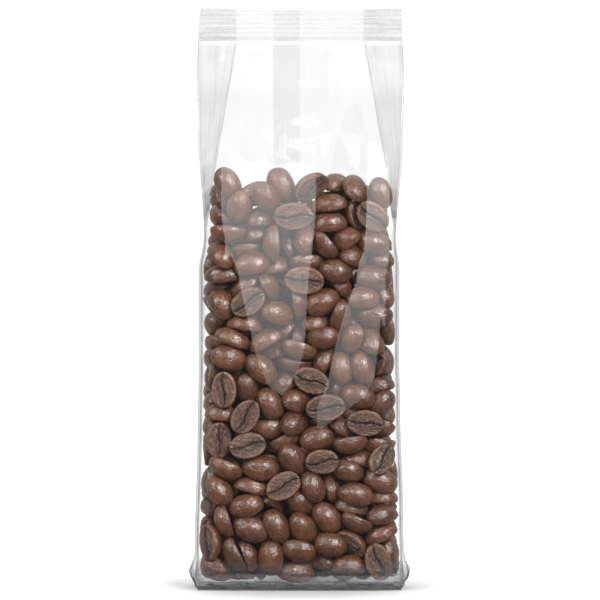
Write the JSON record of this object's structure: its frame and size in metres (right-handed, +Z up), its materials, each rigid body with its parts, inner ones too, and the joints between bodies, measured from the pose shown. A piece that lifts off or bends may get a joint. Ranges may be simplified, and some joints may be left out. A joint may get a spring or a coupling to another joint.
{
  "type": "side gusset film bag",
  "caption": "Clear film side-gusset bag with a crimped top band, folded back seam and tucked base, filled with roasted coffee beans.",
  "frame": {"origin": "centre of the footprint's bounding box, on the surface the bag stands on", "axes": "+Z up; -Y is the wide plain face, +Y the face with the folded back seam, +X to the viewer's right when facing the plain face"},
  "size_m": [0.071, 0.028, 0.1865],
  "materials": {
    "film": "clear glossy polypropylene film",
    "crimped_film": "crimped, fused plies",
    "roasted_bean": "oily medium roast, satin sheen"
  },
  "bodies": {
    "bag": {"front_panel": "film", "back_panel_left": "film", "back_panel_right": "film", "back_fin_seal": "film", "left_gusset_front_ply": "film", "left_gusset_back_ply": "film", "right_gusset_front_ply": "film", "right_gusset_back_ply": "film", "base_front_flap": "film", "base_back_flap": "film", "bottom_seal": "film", "left_base_fold": "film", "right_base_fold": "film", "bean_layer_01": "roasted_bean", "bean_layer_02": "roasted_bean", "bean_layer_03": "roasted_bean", "bean_layer_04": "roasted_bean", "bean_layer_05": "roasted_bean", "bean_layer_06": "roasted_bean", "bean_layer_07": "roasted_bean", "bean_layer_08": "roasted_bean", "bean_layer_09": "roasted_bean", "bean_layer_10": "roasted_bean", "bean_layer_11": "roasted_bean", "bean_layer_12": "roasted_bean", "bean_layer_13": "roasted_bean", "bean_layer_14": "roasted_bean", "bean_layer_15": "roasted_bean", "bean_layer_16": "roasted_bean", "bean_layer_17": "roasted_bean", "bean_layer_18": "roasted_bean", "bean_layer_19": "roasted_bean", "bean_layer_20": "roasted_bean", "bean_layer_21": "roasted_bean", "bean_layer_22": "roasted_bean"},
    "top_seal": {"top_seal_front_ply": "crimped_film", "top_seal_back_ply": "crimped_film", "top_seal_left_gusset": "crimped_film", "top_seal_right_gusset": "crimped_film", "top_seal_fin_ply": "crimped_film"}
  },
  "joints": [
    {"name": "top_seal_fold", "type": "hinge", "parent": "bag", "child": "top_seal", "pos_m": [0, 0, 0.1754], "axis": [1, 0, 0], "range_deg": [-75, 90], "stiffness_Nm_per_rad": 0.0005}
  ]
}
